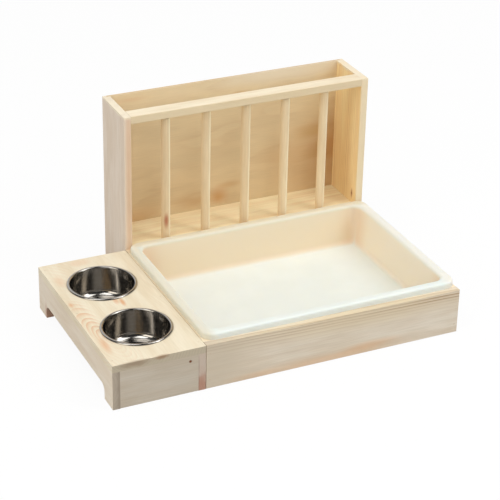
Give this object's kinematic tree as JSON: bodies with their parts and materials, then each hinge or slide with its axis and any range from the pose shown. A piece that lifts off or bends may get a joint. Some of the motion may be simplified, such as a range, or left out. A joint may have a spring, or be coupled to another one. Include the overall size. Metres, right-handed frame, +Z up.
{
  "type": "hay feeder box",
  "caption": "Pine small-animal feeder: barred hay rack behind a framed lift-out litter pan, with a low bench of steel bowls beside it.",
  "frame": {"origin": "on the floor, under the middle of the feeder's box", "axes": "+X to the right along the longest side, from the bowl stand to the tray frame; +Y to the back, towards the hay rack; +Z up"},
  "size_m": [0.5806, 0.42, 0.307],
  "materials": {
    "pine": "sanded, unfinished",
    "dowel_wood": "sanded, unfinished",
    "plywood": "sanded, unfinished",
    "white_plastic": "satin, milky",
    "stainless_steel": "polished",
    "brad_steel": "bright wire",
    "screw_steel": "zinc plated"
  },
  "bodies": {
    "tray_frame_and_rack": {"tray_frame_front": "pine", "tray_frame_rear": "pine", "tray_frame_left": "pine", "tray_frame_right": "pine", "rack_left_panel": "pine", "rack_right_panel": "pine", "rack_shelf": "pine", "rack_top_rail": "pine", "rack_back_panel": "plywood", "rack_dowel_1": "dowel_wood", "rack_dowel_2": "dowel_wood", "rack_dowel_3": "dowel_wood", "rack_dowel_4": "dowel_wood", "rack_dowel_5": "dowel_wood", "tray_frame_brads": "brad_steel", "rack_brads": "brad_steel", "back_panel_brads": "brad_steel", "rack_screws": "screw_steel"},
    "bowl_stand": {"bowl_stand_top": "pine", "bowl_stand_outer_side": "pine", "bowl_stand_inner_side": "pine", "bowl_stand_front_end": "pine", "bowl_stand_rear_end": "pine", "bowl_stand_top_brads": "brad_steel", "bowl_stand_corner_brads": "brad_steel"},
    "litter_pan": {"litter_pan": "white_plastic"},
    "front_bowl": {"front_bowl": "stainless_steel"},
    "rear_bowl": {"rear_bowl": "stainless_steel"}
  },
  "joints": [
    {"name": "litter_pan_lift", "type": "slide", "parent": "tray_frame_and_rack", "child": "litter_pan", "axis": [0, 0, 1], "range_m": [0, 0.1]},
    {"name": "bowl_stand_pull", "type": "slide", "parent": "tray_frame_and_rack", "child": "bowl_stand", "axis": [-1, 0, 0], "range_m": [0, 0.1]},
    {"name": "front_bowl_lift", "type": "slide", "parent": "bowl_stand", "child": "front_bowl", "axis": [0, 0, 1], "range_m": [0, 0.07]},
    {"name": "rear_bowl_lift", "type": "slide", "parent": "bowl_stand", "child": "rear_bowl", "axis": [0, 0, 1], "range_m": [0, 0.07]}
  ]
}
